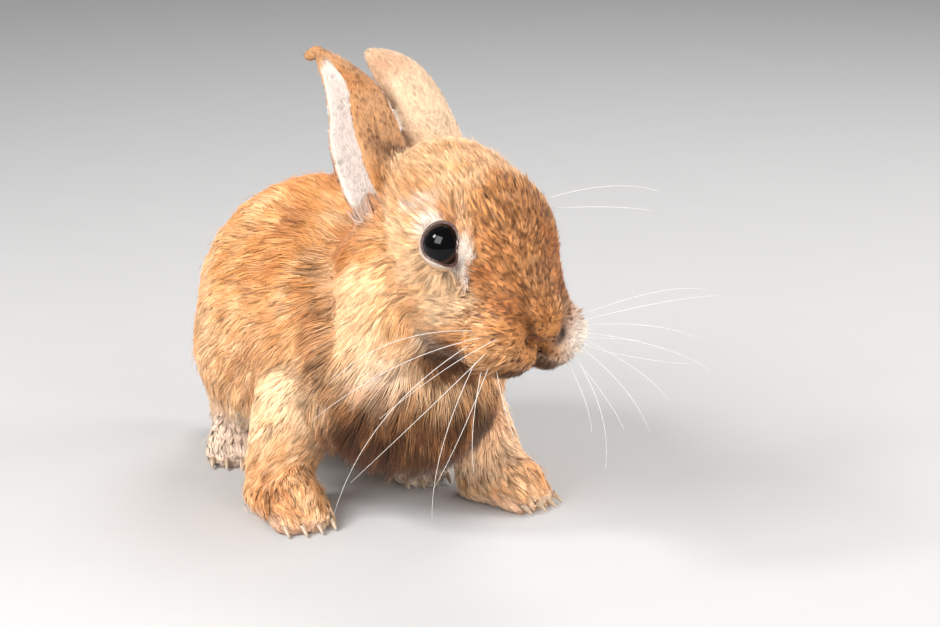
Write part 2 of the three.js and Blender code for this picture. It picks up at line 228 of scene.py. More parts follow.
# From the floor point: shoulder, wrist and toes of each foreleg, hock and toes of each hind foot.
LEGS = {
    "left": ((-50, 20, 52), (-44, 31, 15), (-26, 39, 3), (-122, 24, 10), (-66, 17, 3)),
    "right": ((-54, -24, 54), (-65, -40, 15), (-41, -40.5, 3), (-160, -15, 16), (-117, -34, 3)),
}
# Coat depth, hair length and hair width of each kind of flesh, and how closely the hairs stand.
COVER = {
    "trunk": (3.8, 13.5, 0.34, 1.0),
    "neck": (3.6, 11.5, 0.32, 1.0),
    "tail": (3.5, 12.0, 0.48, 1.0),
    "skull": (2.0, 5.4, 0.32, 1.0),
    "muzzle": (1.2, 3.2, 0.28, 1.0),
    "jaw": (2.3, 6.5, 0.33, 1.0),
    "pad": (1.9, 5.2, 0.38, 1.0),
    "ear": (0.5, 3.0, 0.22, 0.6),
    "foreleg": (2.3, 8.0, 0.36, 1.0),
    "forepaw": (1.3, 6.5, 0.34, 1.0),
    "thigh": (3.8, 13.0, 0.38, 1.0),
    "hind_foot": (1.6, 7.5, 0.30, 1.0),
}
KINDS = list(COVER)
FLESH = {name: kind for name in frame["nodes"] for kind in KINDS if name.startswith(kind)}


def numbers_of(*kinds):
    return [KINDS.index(kind) for kind in kinds]


def ear_line(side):
    """The middle of an ear's foot, the direction to its tip and how far off that is."""
    co = mesh_points(frame["nodes"][f"ear_{side}"].data)
    tip = co[np.argmax(distance(co, HEAD))]
    farthest = np.argsort(distance(co, tip))[-len(co) // 6:]
    foot = co[farthest].mean(0)
    return foot, unit(tip - foot), float(np.linalg.norm(tip - foot))


def on_ear(points, kinds, side):
    """Which points are on that side's ear."""
    return (kinds == KINDS.index("ear")) & ((in_head(points)[:, 1] > 0) == (SIDES[side] > 0))


# ---- the eye's opening
GAZE = (0.30, 0.80, 0.50)  # forward, outward and up
# Half the angle that the lids leave open, how much more on one side of the eye, and where that is.
OPENING, LEAN, LEAN_AT = 47, 6, 130
CORNER, CORNER_AT, CORNER_WIDTH = 26, -22, 26  # the same for the corner towards the nose
FAR_OFF = 99.0  # stands for a way past the lids that doesn't matter


def gaze_axes(side):
    """The way in which an eye looks, and the ways forward and up across it, in the head's axes."""
    look = unit(np.array(GAZE) * (1, SIDES[side], 1))
    fore = unit(np.array([1, 0, 0]) - look * look[0])
    rise = np.array([0, 0, 1]) - look * look[2]
    return look, fore, unit(rise - fore * dot(rise, fore))


def round_eye(points, side):
    """Each point's distance from the eye's middle, way past the lid's edge and angle round the eye."""
    look, fore, rise = gaze_axes(side)
    away = (points - EYES[side]) @ HEAD_AXES.T
    far = np.linalg.norm(away, axis=1)
    tilt = np.degrees(np.arccos(np.clip(away @ look / np.maximum(far, 1e-9), -1, 1)))
    turn = np.degrees(np.arctan2(away @ rise, away @ fore))
    opening = OPENING + LEAN * np.cos(np.radians(turn - LEAN_AT))
    opening += CORNER * near_angle(turn, CORNER_AT, CORNER_WIDTH)
    return far, np.radians(tilt - opening) * EYE_RADIUS, turn


def past_lid(points):
    """The way past the nearer eye's lid edge, and the angle round that eye."""
    best, turns = np.full(len(points), FAR_OFF), np.zeros(len(points))
    for side in SIDES:
        far, past, turn = round_eye(points, side)
        past += 0.6 * np.maximum(far - EYE_RADIUS * 1.2, 0)
        past[far >= EYE_RADIUS * 1.9] = FAR_OFF
        near = past < best
        best, turns = np.where(near, past, best), np.where(near, turn, turns)
    return best, turns


# ---- settings
def settings_of(kind, **fixed):
    """Settings of one kind, which then take their name, description and default."""
    return lambda name, about, value: kind(name=name, description=about, default=value, **fixed)


size_setting = settings_of(bpy.props.FloatProperty, min=0, unit="LENGTH", subtype="DISTANCE")
colour_setting = settings_of(bpy.props.FloatVectorProperty, min=0, max=1, size=3, subtype="COLOR")
share_setting = settings_of(bpy.props.FloatProperty, min=0, max=1, subtype="FACTOR")
angle_setting = settings_of(bpy.props.FloatProperty, subtype="ANGLE")
lens_setting = settings_of(bpy.props.FloatProperty, min=1, unit="CAMERA")


class SkinSettings(bpy.types.PropertyGroup):
    """The skin under the coat."""

    grain: size_setting("Grain", "Edge length of the skin's faces", 0.00115)
    bridge: size_setting("Bridge", "How far the parts are grown to close the gaps between them", 0.0003)
    ear_rim: size_setting("Ear rim", "How far the ears' walls are grown, for round rims", 0.0007)
    lid: size_setting("Lid", "How far the lid's edge stands out from the eyeball", 0.0008)
    bare: colour_setting("Bare skin", "Colour of the lid edges", (0.070, 0.030, 0.022))
    inner_ear: colour_setting("Inner ear", "Colour of the skin in the ears", (0.80, 0.68, 0.63))
    # Painted shade: the near-black colour in the nostrils, the cleft and the mouth, where little light
    # reaches.
    hollow: colour_setting("Hollows", "Colour in the nostrils and mouth", (0.012, 0.006, 0.005))


class CoatSettings(bpy.types.PropertyGroup):
    """The fur."""

    orange: colour_setting("Orange", "Main colour of the coat", (0.70, 0.30, 0.092))
    rust: colour_setting("Rust", "Deeper colour of the coat", (0.46, 0.15, 0.035))
    cream: colour_setting("Cream", "Paler colour of the coat", (0.88, 0.59, 0.35))
    white: colour_setting("White", "Colour of the pale markings", (0.88, 0.79, 0.70))
    ticking: colour_setting("Ticking", "Colour of the dark hair tips", (0.12, 0.042, 0.014))
    softness: share_setting("Softness", "How far the hairs take the light as the body does", 0.62)
    clumping: share_setting("Clumping", "How far the hairs of a lock come together", 0.5)


class EyeSettings(bpy.types.PropertyGroup):
    """The eyeballs."""

    bulge: size_setting("Bulge", "How far the cornea stands out of the eyeball", 0.0005)
    iris: colour_setting("Iris", "Colour of the iris", (0.020, 0.008, 0.004))
    pupil: share_setting("Pupil", "Share of the eye's opening that the pupil takes", 0.78)


class ClawSettings(bpy.types.PropertyGroup):
    """The claws."""

    thicken: size_setting("Thicken", "How far the claws are grown after they are smoothed", 0.0001)
    horn: colour_setting("Horn", "Colour of the claws", (0.50, 0.37, 0.25))


class WhiskerSettings(bpy.types.PropertyGroup):
    """The feelers."""

    thickness: size_setting("Thickness", "Thickness of a whisker at its root", 0.00022)
    colour: colour_setting("Colour", "Colour of the whiskers", (0.74, 0.69, 0.63))


class StudioSettings(bpy.types.PropertyGroup):
    """The floor, the light and the camera."""

    floor: colour_setting("Floor", "Colour of the floor", (0.54, 0.53, 0.52))
    distance: size_setting("Distance", "From the camera to the rabbit", 0.9)
    azimuth: angle_setting("Azimuth", "Side that the camera stands on", math.radians(62))
    elevation: angle_setting("Elevation", "How far the camera looks down", math.radians(15))
    lens: lens_setting("Lens", "Focal length of the camera", 106.9)


# ---- finishes
class Value:
    """A number or colour in a finish, which takes part in sums."""

    def __init__(self, finish, socket):
        self.finish, self.socket = finish, socket

    def math(self, operation, other, **settings):
        return self.finish.node("ShaderNodeMath", {"operation": operation, **settings}, (self, other))

    def __add__(self, other):
        return self.math("ADD", other)

    def __sub__(self, other):
        return self.math("SUBTRACT", other)

    def __rsub__(self, other):
        return self.finish.node("ShaderNodeMath", {"operation": "SUBTRACT"}, (other, self))

    def __mul__(self, other):
        return self.math("MULTIPLY", other)

    def __truediv__(self, other):
        return self.math("DIVIDE", other)

    __radd__, __rmul__ = __add__, __mul__

    def clamped(self):
        return self.math("ADD", 0.0, use_clamp=True)

    def between(self, low, high):
        """0 where this is below low and 1 where it is above high."""
        return ((self - low) / (high - low)).clamped()


class Finish:
    """A material under construction."""

    def __init__(self, name, roughness, specular, **constants):
        self.material = bpy.data.materials.new(name)
        self.material.use_nodes = True
        self.tree = self.material.node_tree
        self.shader = self.tree.nodes["Principled BSDF"]
        constants.update(Roughness=roughness, Specular_IOR_Level=specular)
        for name, value in constants.items():
            self.shader.inputs[name.replace("_", " ")].default_value = value

    def node(self, kind, settings=(), inputs=(), output=0):
        """A node with its settings, and with values or links in its sockets."""
        made = self.tree.nodes.new(kind)
        for name, value in dict(settings).items():
            setattr(made, name, value)
        for key, value in inputs.items() if isinstance(inputs, dict) else enumerate(inputs):
            if isinstance(value, Value):
                self.tree.links.new(value.socket, made.inputs[key])
            else:
                made.inputs[key].default_value = value
        return Value(self, made.outputs[output])

    def attribute(self, name, output="Fac"):
        return self.node("ShaderNodeAttribute", {"attribute_name": name}, output=output)

    def grain(self, scale, detail=3, where=None, stretch=(1, 1, 1)):
        """Noise from 0 to 1. scale is in grains per metre."""
        where = where or self.node("ShaderNodeTexCoord", output="Object")
        where = self.node("ShaderNodeMapping", {}, {"Vector": where, "Scale": stretch})
        return self.node("ShaderNodeTexNoise", {}, {"Vector": where, "Scale": scale, "Detail": detail})

    def mix(self, share, first, second):
        """first where share is 0, and second where it is 1."""
        first, second = (c if isinstance(c, Value) else (*c, 1) for c in (first, second))
        return self.node("ShaderNodeMix", {"data_type": "RGBA"}, {0: share, 6: first, 7: second}, 2)

    def shade(self, colour, by):
        """The colour made darker or lighter by a number."""
        return self.node("ShaderNodeVectorMath", {"operation": "SCALE"}, {0: colour, "Scale": by})

    def bump(self, height, distance, strength=0.6):
        sockets = {"Height": height, "Distance": distance, "Strength": strength}
        return self.node("ShaderNodeBump", {}, sockets)

    def wear(self, **sockets):
        """Links colour, roughness or normal to the shader."""
        for name, value in sockets.items():
            self.tree.links.new(value.socket, self.shader.inputs[name.replace("_", " ")])
        return self.material


def coat_colours(finish, s):
    """The coat's markings and painted shade, the same on the skin and on the hairs."""
    patch = finish.grain(55)
    colour = finish.mix(finish.attribute("cream") * (patch * 0.5 + 0.75), s.orange[:], s.cream[:])
    rust = (finish.attribute("rust") * (patch * 0.6 + 0.7)).clamped()
    colour = finish.mix(rust, colour, s.rust[:])
    colour = finish.mix(finish.attribute("white"), colour, s.white[:])
    # Darkened by the painted shade under the chest and throat, in the folds and along the lines of the
    # nose.
    return finish.shade(colour, 1 - finish.attribute("deep") * 0.88)


def coat_finish(s):
    """Hairs paler and with painted shade at the root, ticked at the tip, with a faint sheen."""
    finish = Finish("coat", 0.58, 0.25, Sheen_Weight=0.10, Sheen_Roughness=0.45)
    along, tone = finish.attribute("along"), finish.attribute("tone")
    colour = finish.mix((0.5 - along) * 0.5, coat_colours(finish, s), s.cream[:])
    tip = finish.attribute("ticked") * along.between(0.25, 0.75)
    colour = finish.mix(tip.clamped(), colour, s.ticking[:])
    # Painted shade towards the roots, where the coat is thick, times each hair's own tone.
    shade = (along * 0.34 + 0.76) * (tone * 1.08 + 0.48)
    return finish.wear(Base_Color=finish.shade(colour, shade))


def skin_finish(s, coat):
    """The coat's colours and painted shade in streaks like short underfur, the bare places, and painted
    shade in the nostrils, cleft and mouth.
    """
    finish = Finish("skin", 0.6, 0.3)
    ticked = (finish.attribute("ticked") * 0.3).clamped()
    colour = finish.mix(ticked, coat_colours(finish, coat), coat.ticking[:])
    streaks = finish.grain(1500, stretch=(0.25, 1, 0.6))
    colour = finish.shade(colour, streaks * 0.5 + 0.55)
    # The inner ears and the lid edges in their own colours, and the nostrils, cleft and mouth in
    # painted shade.
    for name, shown in (("inner", s.inner_ear), ("bare", s.bare), ("hollow", s.hollow)):
        colour = finish.mix(finish.attribute(name), colour, shown[:])
    roughness = 0.7 - finish.attribute("bare") * 0.35
    return finish.wear(Base_Color=colour, Roughness=roughness, Normal=finish.bump(streaks, 0.0006))


PUPIL_BLACK, EYE_EDGE = (0.0012, 0.0010, 0.0012), (0.004, 0.002, 0.0015)


def eye_finish(s):
    """A dark iris with spokes round a wide pupil, under a wet gloss."""
    finish = Finish("eye", 0.03, 0.19)
    gaze = finish.attribute("gaze")
    spokes = finish.grain(9, where=finish.attribute("spoke", "Vector"))
    iris = finish.shade(s.iris[:], spokes * 2.4 + 0.2)
    colour = finish.mix(gaze.between(s.pupil, s.pupil + 0.06), PUPIL_BLACK, iris)
    return finish.wear(Base_Color=finish.mix(gaze.between(0.93, 1.02), colour, EYE_EDGE))


CLAW_ROOT = (0.40, 0.27, 0.18)


def claw_finish(s):
    """Streaked horn, darker at the root."""
    finish = Finish("claw", 0.34, 0.5, Coat_Weight=0.25)
    streaks = finish.grain(900, stretch=(0.3, 1, 1))
    colour = finish.mix(finish.attribute("along").between(0.1, 0.9), CLAW_ROOT, s.horn[:])
    colour = finish.shade(colour, streaks * 0.7 + 0.6)
    return finish.wear(Base_Color=colour, Normal=finish.bump(streaks, 0.0002, 0.4))


def whisker_finish(s):
    finish = Finish("whisker", 0.35, 0.5)
    return finish.wear(Base_Color=finish.shade(s.colour[:], finish.grain(700, 1) * 0.3 + 0.82))


def floor_finish(s):
    finish = Finish("floor", 0.75, 0.2)
    return finish.wear(Base_Color=finish.shade(s.floor[:], finish.grain(30) * 0.03 + 0.985))


# ---- making meshes
def deselect():
    bpy.ops.object.select_all(action="DESELECT")


def only(ob):
    deselect()
    ob.select_set(True)
    bpy.context.view_layer.objects.active = ob


def add_object(name, data):
    ob = bpy.data.objects.new(name, data)
    bpy.context.scene.collection.objects.link(ob)
    return ob


def add_ball(segments, rings, radius, place=(0, 0, 0), size=(1, 1, 1)):
    deselect()
    where = np.multiply(place, MM)
    bpy.ops.mesh.primitive_uv_sphere_add(
        segments=segments, ring_count=rings, radius=radius * MM, location=where
    )
    bpy.context.object.scale = size
    bpy.ops.object.transform_apply(location=True, rotation=True, scale=True)
    return bpy.context.object


def joined(obs, name):
    only(obs[0])
    for ob in obs:
        ob.select_set(True)
    bpy.ops.object.join()
    obs[0].name = obs[0].data.name = name
    return obs[0]


def modified(ob, kind, **settings):
    """Adds a modifier to ob and applies it."""
    only(ob)
    made = ob.modifiers.new(kind, kind)
    for name, value in settings.items():
        setattr(made, name, value)
    bpy.ops.object.modifier_apply(modifier=made.name)


def grow(ob, distance):
    modified(ob, "DISPLACE", direction="NORMAL", mid_level=0, strength=distance)


def edited(ob, *steps):
    """Works on ob in edit mode. Each step is a function to call."""
    only(ob)
    bpy.ops.object.mode_set(mode="EDIT")
    for step in steps:
        step()
    bpy.ops.object.mode_set(mode="OBJECT")


def take_all():
    bpy.ops.mesh.select_all(action="SELECT")


def merge_doubles():
    bpy.ops.mesh.remove_doubles(threshold=1e-5)


def select_faces(ob, chosen):
    edited(ob, lambda: bpy.ops.mesh.select_mode(type="FACE"))
    for items in (ob.data.vertices, ob.data.edges):
        put(items, "select", np.zeros(len(items)), bool)
    put(ob.data.polygons, "select", chosen, bool)


def finish_piece(ob, material, slot, *nodes):
    """Gives a piece its finish and its body, and hides the nodes that it stands for; slot is not used.
    """
    ob.data.materials.clear()
    ob.data.materials.append(material)
    put(ob.data.polygons, "use_smooth", np.ones(len(ob.data.polygons)), bool)
    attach(ob, "root")
    if nodes:
        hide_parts(*nodes)


# ---- lie of the coat
MUZZLE_END = (46, 0, -9)  # the hair of the head points away from here


def across_skin(flow, normals):
    return unit(flow - normals * dot(flow, normals)[:, None])


def lie_of_coat(points, normals, kinds):
    """The way the hair points at each place."""
    flow = np.zeros_like(points)

    def of(*names):
        return np.isin(kinds, numbers_of(*names))

    body = of("trunk", "neck", "thigh")
    steep = np.clip(1 - normals[body, 2], 0, 1.4)
    flow[body] = np.stack([-np.ones(len(steep)), np.zeros(len(steep)), -0.22 - 0.95 * steep], 1)
    flow[of("tail")] = (-1, 0, 0.15)

    head = of("skull", "muzzle", "jaw", "pad")
    local = in_head(points[head])
    away = unit(local - MUZZLE_END)
    away[:, 2] -= 0.35 * ease(0, -25, local[:, 2]) * ease(10, -20, local[:, 0])
    away[:, 2] += 0.12 * ease(-6, 10, local[:, 2])
    for side, sign in SIDES.items():
        off = local - in_head(EYES[side][None])[0]
        past = np.linalg.norm(off, axis=1) - EYE_RADIUS
        near = bell(np.maximum(past, 0), 5) * (np.sign(local[:, 1]) == sign)
        away += 4.0 * unit(off) * near[:, None]
    flow[head] = away @ HEAD_AXES

    for side, sign in SIDES.items():
        flow[on_ear(points, kinds, side)] = ear_line(side)[1]
        here = (points[:, 1] > FLOOR_POINT[1]) == (sign > 0)
        shoulder, wrist, toes, hock, hind_toes = np.array(LEGS[side], float)
        flow[of("foreleg") & here] = unit(wrist - shoulder) + (-0.25, 0, 0)
        flow[of("forepaw") & here] = unit(toes - wrist)
        flow[of("hind_foot") & here] = unit(hind_toes - hock)
    return unit(flow)


# ---- markings
# How much wider the white round the eye is, at which angle round it, and over how many degrees.
EYE_RING = ((4.6, -178, 58), (5.2, -8, 48), (2.2, -95, 50), (-2.8, -34, 24), (-2.6, 92, 44))
# Streaks and spots in the head's axes, on both halves, with their reach.
BROW = ((-17, 21.6, 3.5), (-7.5, 18.3, 11.5), 2.3)
TEAR_LINE = ((11.5, 17, -1), (13.5, 16.8, -4.5), 2.4)
LEFT_LIP = (36, 15, -19)
CHEEK = (13, 19, -12)
PAD_MIDDLE = (28, 15, -18)
MOLE = (19.5, 18.5, -15)
LEFT_EAR_FOOT = ((-49, 19, -6), (-38, 21, -10), 4.2)
# The right ear's foot: painted shade with dark hair tips.
RIGHT_EAR_FOOT = ((-48, -15, 10), (-44, -7, 6), 3.6)
# The same from the floor point.
RUFF = (-16, -22, 61)
NAPE = ((-60, 10, 104), (-38, -22, 98), 8)
# Painted shade in the fold behind the right ear.
BEHIND_EAR_SHADE = ((-70, -22, 100), (-46, -24, 99), 8)
# How strong the painted shade is along the lines of the nose, the nostrils and the cleft, and how far
# the painted shade of the nostrils, mouth and cleft reaches from their lines.
SHADED_LINES = tuple(zip((*NOSE_LINES, NOSTRIL, CLEFT), (0.6, 0.9, 0.95, 1.0)))
SHADED_HOLLOWS = ((NOSTRIL, 2.8), (MOUTH, 0.9), (CLEFT, 3.4))
ROW_GAP = 4.0  # between the rows in which the whiskers stand


def markings(points, normals, belongs, inner):
    """The coat's and skin's markings, painted shade and painted light as values from 0 to 1, by their
    places on the animal.

    belongs says how far each place belongs to each kind of flesh.
    """
    local, mirrored, body = in_head(points), half_head(points), points - FLOOR_POINT
    x, y, z = local.T
    wide = mirrored[:, 1]
    ahead, aside, high = body.T
    past, turn = past_lid(points)
    broad, fine = rough_noise(points, 17, 3), rough_noise(points, 4.5, 5)

    def of(*names):
        return belongs[:, numbers_of(*names)].sum(1)

    def spot(place, reach, where=mirrored):
        return bell(distance(where, place), reach)

    def streak(line, where=mirrored, wider=1):
        a, b, width, *_ = line
        return bell(to_line(where, a, b), wider * width)

    head = of("skull", "muzzle", "jaw", "pad")
    ear, neck, foreleg, forepaw = of("ear"), of("neck"), of("foreleg"), of("forepaw")

    # White round the eyes, on the lips, chin, belly, in the ears and at their feet, and on the paws; on
    # the front of the left pad and on the left foreleg part of it is painted light.
    ring = 0.6 + sum(wider * near_angle(turn, *at) for wider, *at in EYE_RING)
    white = 0.8 * ease(ring + 1.4, ring - 1.2, past) + 0.72 * streak(BROW) + 0.5 * streak(TEAR_LINE)
    white *= head
    white += 0.85 * ease(11, 4, wide) * ease(-21, -25, z) * ease(24, 30, x) * head
    white += 0.55 * ease(-28, -33, z) * of("jaw", "pad", "muzzle")
    # Partly its own white and partly painted light on the front of the left pad, which is whiter than
    # the right.
    white += 0.95 * spot(LEFT_LIP, 10) * ease(1, 7, y)
    white += 0.6 * spot(RUFF, 8, body) * (0.3 + 0.9 * fine)
    under = ease(-0.3, -0.8, normals[:, 2])
    white += 0.6 * under * of("trunk", "thigh", "tail") * ease(-30, -55, ahead)
    white += 0.95 * ease(0.12, 0.45, inner) + 0.18 * ear * (y > 0)
    white += streak(LEFT_EAR_FOOT) * (0.5 + 0.6 * fine)
    # The left foreleg's extra white is painted light.
    white += 0.5 * of("hind_foot") + 0.1 * foreleg * (aside > 0) + 0.3 * forepaw * ease(9, 3, high)

    # Cream on the flanks, cheeks, throat, legs and left ear, and in broad patches; under the eyes, on
    # the front of the left pad and on the left foreleg and paw part of it is painted light.
    flank = of("trunk", "thigh", "neck") * ease(88, 52, high)
    cream = 0.06 + 0.34 * ease(0.45, 0.85, broad) + 0.5 * flank * (1 - 0.45 * neck)
    cream += 0.45 * ease(10, -6, z) * ease(26, 6, x) * of("skull", "jaw", "muzzle")
    # Cream on the lower neck, and on the front of the left pad, where it is partly painted light.
    cream += 0.3 * neck * ease(6, -25, z) + 0.5 * spot(LEFT_LIP, 12) * ease(0, 6, y)
    # Cream under the eyes, partly the coat's colour and partly painted light on the cheek that faces
    # down; and at the back of the head.
    cream += (0.5 * spot(CHEEK, 8) + 0.3 * ease(-2, 8, z) * ease(12, -6, x)) * head
    cream += 0.5 * ear * (y > 0) + 0.9 * of("hind_foot")
    # The left forepaw's and left foreleg's extra cream is painted light.
    cream += (0.3 + 0.3 * (aside > 0)) * forepaw + 0.4 * foreleg * (1 + 0.8 * (aside > 0))

    # Painted shade under the chest and throat, where little light falls; it also dulls the cream and
    # white there and, further down, adds rust and dark tips.
    chest = of("trunk", "foreleg", "neck") * ease(-62, -30, ahead) * ease(62, 44, high)
    chest *= ease(34, 20, np.abs(aside + 6)) * (1 - foreleg * ease(8, 14, aside))
    throat = ease(-25, -30, z) * ease(30, 22, x) * of("jaw", "neck", "pad") * ease(20, 10, wide)
    shaded = np.maximum(chest, throat)
    # Painted shade on the chin under the pads, where the white is taken away.
    lip_shade = ease(-21.5, -25, z) * ease(15, 9, wide) * ease(22, 27, x) * head
    cream *= 1 - 0.7 * shaded
    white *= (1 - 0.6 * shaded) * (1 - lip_shade)
    coloured = 1 - np.clip(white, 0, 1)

    # Rust on the bridge of the nose, the right ear, the nape and in broad patches; under the chest and
    # throat and in the neck's folds it is painted shade, and just above the eyes partly painted shade.
    rust = 0.5 * ease(0.55, 0.12, broad) * (0.4 + fine) * (1 - 0.6 * flank)
    rust += 0.38 * head * ease(21, 8, wide) * ease(2, 17, x) * (0.5 + 0.8 * fine)
    rust += 0.25 * ear * (y < 0) + 0.4 * streak(NAPE, body) + 0.5 * shaded
    # Rust just above each eye, partly the fur's colour and partly painted shade under the brow.
    rust += 0.4 * near_angle(turn, 100, 48) * ease(4.5, 1, past) * head

    # Painted shade in the folds, at the right ear's foot, behind the right ear, on the chin under the
    # pads and in the lines of the nose, and darker random blotches over the body.
    # Painted shade and dark hair tips at the right ear's foot.
    ear_foot_shade_and_ticks = streak(RIGHT_EAR_FOOT, local) * of("ear", "skull", "neck")
    deep = np.maximum.reduce([shaded, 0.95 * lip_shade, 0.6 * ear_foot_shade_and_ticks])
    # Painted shade and rust along the neck's folds, in patches.
    for fold in NECK_FOLDS:
        along = streak(fold, body, 1.4)
        rust += 0.35 * along
        deep = np.maximum(deep, 1.1 * along * (0.3 + 0.9 * fine))
    # Painted shade in the fold behind the right ear, in patches.
    deep = np.maximum(deep, 0.5 * streak(BEHIND_EAR_SHADE, body) * (0.3 + fine))
    # Painted shade along the lines of the nose, the nostrils and the cleft.
    for line, dark in SHADED_LINES:
        deep = np.maximum(deep, dark * streak(line, wider=1.05) * head)
    # Darker random blotches over the body, added to the painted shade.
    deep += 0.12 * ease(0.5, 0.9, fine) * of("trunk", "thigh", "neck")

    # Dark tips on the bridge of the nose and the ears, and in rows where the whiskers stand.
    bridge = ease(-14, -5, z + 0.45 * np.maximum(x - 12, 0)) * ease(-4, 15, x)
    ticked = 0.8 * ease(21, 6, wide) * bridge * head * coloured
    # Dark tips as painted shade under the chest and throat, and with painted shade at the right ear's
    # foot.
    ticked += 0.9 * ear_foot_shade_and_ticks + 0.6 * shaded + 0.5 * spot(MOLE, 2.2) * head
    ticked += (0.25 + 0.75 * (y < 0)) * ear * ease(0.4, 0.1, inner) * rough_noise(points, 1.3, 9)
    rows = ease(0.1, 0.9, np.sin((z + 0.45 * x) * 2 * math.pi / ROW_GAP))
    rows *= ease(0.2, 0.6, rough_noise(points, 2.4, 11))
    ticked += 1.4 * rows * spot(PAD_MIDDLE, 10) * of("pad", "muzzle", "skull") * coloured
    ticked += 0.14 * head * ease(24, 15, wide) * coloured

    corner = near_angle(turn, CORNER_AT, 20) * ease(3.4, 1.8, past)
    bare = np.maximum(ease(0.85, 0.4, past), 0.75 * corner)
    # Painted shade in the nostrils, the cleft and the mouth.
    hollow = np.max([ease(far, 0.62 * far, to_line(mirrored, a, b)) for (a, b, *_), far in SHADED_HOLLOWS], 0)
    values = {
        "white": white, "cream": cream, "rust": rust, "ticked": ticked, "deep": deep,
        "bare": bare, "hollow": hollow * head, "inner": 0.75 * ease(0.5, 0.9, inner),
    }
    return {name: np.clip(value, 0, 1) for name, value in values.items()}


# ---- skin
SKIN = {}  # what the coat and whiskers need to know of the finished skin
LID_WAYS = (-2.2, -0.9, -0.15, 0.35, 1.2, 2.4)  # past the lid's edge, where its height is given
SLABS = 14  # that an ear is cut in to find its middle line
# Smaller faces: where, and within which reach.
FINER = (("eyes", 13.5), ("nose", 13), ("eyes", 11.5), ("nose", 9))


class Surface:
    """The points and edges of a mesh, and what is evened out over them."""

    def __init__(self, mesh):
        self.mesh = mesh
        self.points = mesh_points(mesh)
        self.edges = fetched(mesh.edges, "vertices", 2, np.int32)
        self.links = np.maximum(np.bincount(self.edges.ravel(), minlength=len(self.points)), 1)

    def normals(self):
        put_points(self.mesh, self.points)
        return fetched(self.mesh.vertex_normals, "vector", 3).astype(float)

    def spread(self, values, times, weights=1.0):
        """Values evened out over neighbouring points."""
        values = np.array(values, float)
        flat = values.reshape(len(self.points), -1)
        a, b = self.edges.T
        for _ in range(times):
            sums = [np.bincount(a, v[b], len(v)) + np.bincount(b, v[a], len(v)) for v in flat.T]
            mean = np.stack(sums, 1) / self.links[:, None]
            flat += (mean - flat) * 0.5 * np.reshape(weights, (-1, 1))
        return flat.reshape(values.shape)


def flesh_copies():
    """A copy of each flesh solid, with the balls of the pads and the ear's tip, and their kinds."""
    nodes = frame["nodes"]
    copies = [(add_object("flesh", nodes[name].data.copy()), kind) for name, kind in FLESH.items()]
    for (centre, size), sign in product(PAD_BALLS, SIDES.values()):
        copies.append((add_ball(48, 24, 1, from_head(np.array(centre) * (1, sign, 1)), size), "pad"))
    foot, axis, length = ear_line("right")
    copies.append((add_ball(24, 16, EAR_ROLL, foot + axis * (length - EAR_ROLL_BACK)), "ear"))
    return copies


def flesh_tree(copies):
    """The flesh's faces for finding the nearest one, and the kind of each face."""
    points, faces, kinds = [], [], []
    for ob, kind in copies:
        first = len(points)
        points += mesh_points(ob.data).tolist()
        faces += [[v + first for v in p.vertices] for p in ob.data.polygons]
        kinds += [KINDS.index(kind)] * len(ob.data.polygons)
    return BVHTree.FromPolygons(points, faces), np.array(kinds)


def keep_largest(ob):
    """Removes what isn't joined to the largest piece."""
    edited(ob, take_all, lambda: bpy.ops.mesh.separate(type="LOOSE"))
    parts = sorted(bpy.context.selected_objects, key=lambda o: len(o.data.vertices))
    for part in parts[:-1]:
        bpy.data.objects.remove(part)
    return parts[-1]


def refine(ob, places, reach):
    """Splits the faces within reach of any of the places."""
    centres = fetched(ob.data.polygons, "center", 3) / MM
    select_faces(ob, np.min([distance(centres, place) for place in places], axis=0) < reach)
    edited(ob, lambda: bpy.ops.mesh.subdivide(number_cuts=1))


def raw_skin(copies, s):
    """All the flesh as one closed surface, finer at the eyes and nose."""
    for ob, kind in copies:
        if kind == "ear":
            grow(ob, s.ear_rim)
    eyes = [add_object("flesh", frame["nodes"][f"eye_{side}"].data.copy()) for side in SIDES]
    skin = joined([*(ob for ob, _ in copies), *eyes], "rabbit_skin")
    edited(skin, take_all, merge_doubles)
    grow(skin, s.bridge)
    modified(skin, "REMESH", mode="VOXEL", voxel_size=s.grain)
    modified(skin, "SMOOTH", factor=0.5, iterations=6)
    skin = keep_largest(skin)
    skin.name = "rabbit_skin"
    places = {"eyes": [*EYES.values()], "nose": [from_head(NOSE)]}
    for where, reach in FINER:
        refine(skin, places[where], reach)
    return skin


def ear_inside(points, normals, kinds):
    """How far a place is on the cupped, inner side of an ear, from 0 to 1."""
    inner = np.zeros(len(points))
    for side in SIDES:
        foot, axis, length = ear_line(side)
        mine = np.where(on_ear(points, kinds, side))[0]
        along = (points[mine] - foot) @ axis / length
        slab = np.clip((along * SLABS).astype(int), 0, SLABS - 1)
        centre = np.zeros_like(points[mine])
        for number in np.unique(slab):
            some = slab == number
            centre[some] = points[mine[some]].mean(0)
        facing = dot(unit(centre - points[mine]), normals[mine])
        inner[mine] = ease(-0.15, 0.35, facing) * ease(0.02, 0.12, along) * ease(0.97, 0.86, along)
    return inner


def shape_lids(points, s):
    """Moves points to lids that hug the eyeballs, with an opening between them."""
    lid = s.lid / MM
    for side in SIDES:
        far, past, _ = round_eye(points, side)
        height = np.interp(past, LID_WAYS, (-2.6, -1.5, 0.12, lid, lid + 0.1, lid - 0.1))
        clear = np.maximum(far, EYE_RADIUS + 0.35)
        share = ease(1.0, 4.2, past)
        wanted = (EYE_RADIUS + height) * (1 - share) + clear * share
        use = (far < EYE_RADIUS * 1.75) & (past < 7)
        points[use] = EYES[side] + unit(points[use] - EYES[side]) * wanted[use, None]


